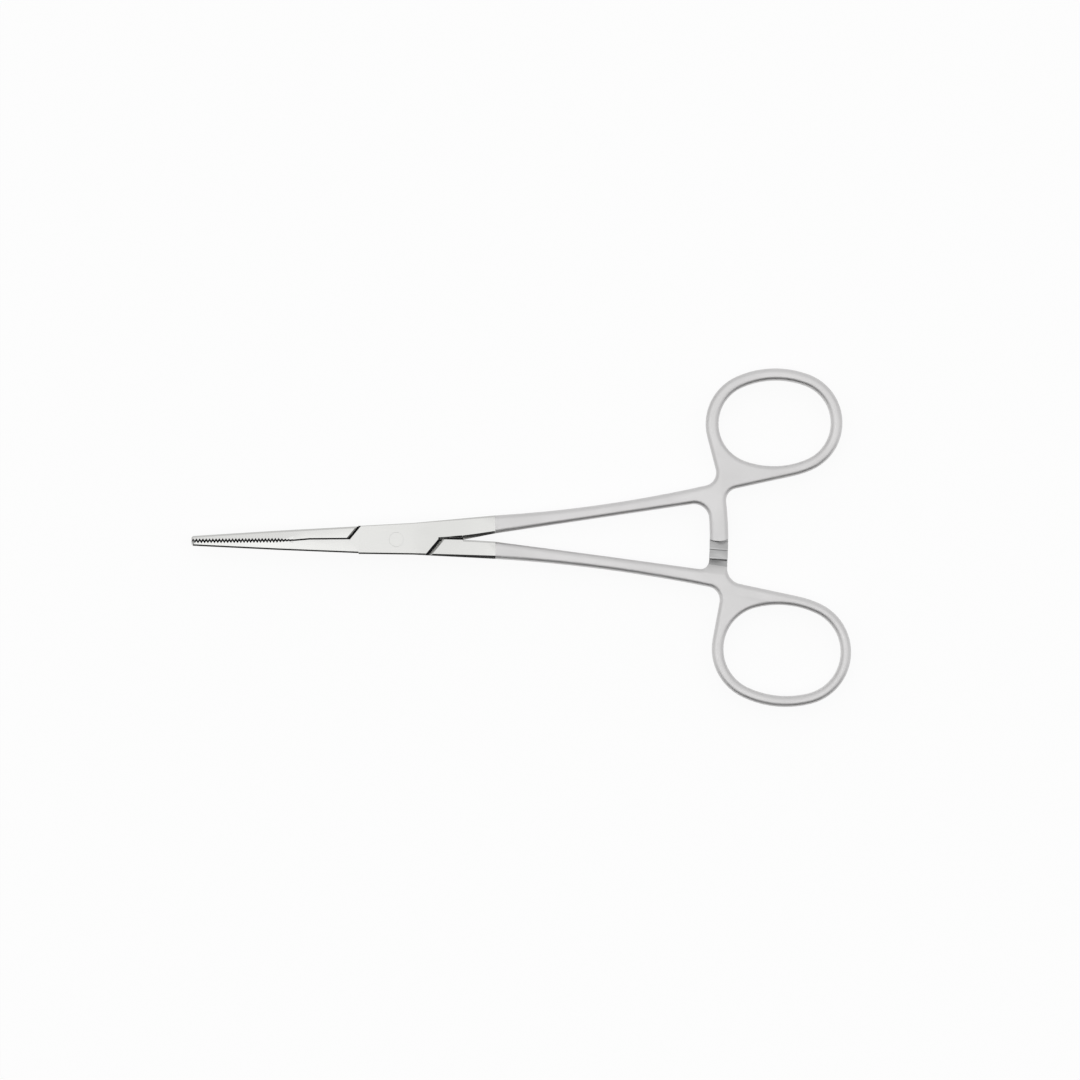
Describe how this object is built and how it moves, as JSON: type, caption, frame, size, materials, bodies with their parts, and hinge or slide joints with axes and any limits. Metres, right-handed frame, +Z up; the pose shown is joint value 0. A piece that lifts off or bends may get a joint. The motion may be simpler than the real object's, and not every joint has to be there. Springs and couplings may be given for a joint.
{
  "type": "haemostatic forceps",
  "caption": "Straight haemostatic forceps with half-serrated jaws, a box joint, slim shanks, a ratchet between the handles and oval finger rings.",
  "frame": {"origin": "where the pivot axis meets the flat underside of the box, which the closed forceps lie on", "axes": "+X from the pivot towards the finger rings, -X towards the jaw tips, +Y towards the ring of the box half, +Z up, along the pivot axis"},
  "size_m": [0.1398, 0.0718, 0.005],
  "materials": {
    "instrument_steel": "polished jaws and box, satin shanks and rings",
    "pin_steel": "ground flush and polished"
  },
  "bodies": {
    "box_side": {"box_half": "instrument_steel", "pivot_pin": "pin_steel"},
    "tongue_side": {"tongue_half": "instrument_steel"}
  },
  "joints": [
    {"name": "box_joint", "type": "hinge", "parent": "box_side", "child": "tongue_side", "pos_m": [0, 0, 0.0025], "axis": [0, 0, -1], "range_deg": [0, 60]}
  ]
}
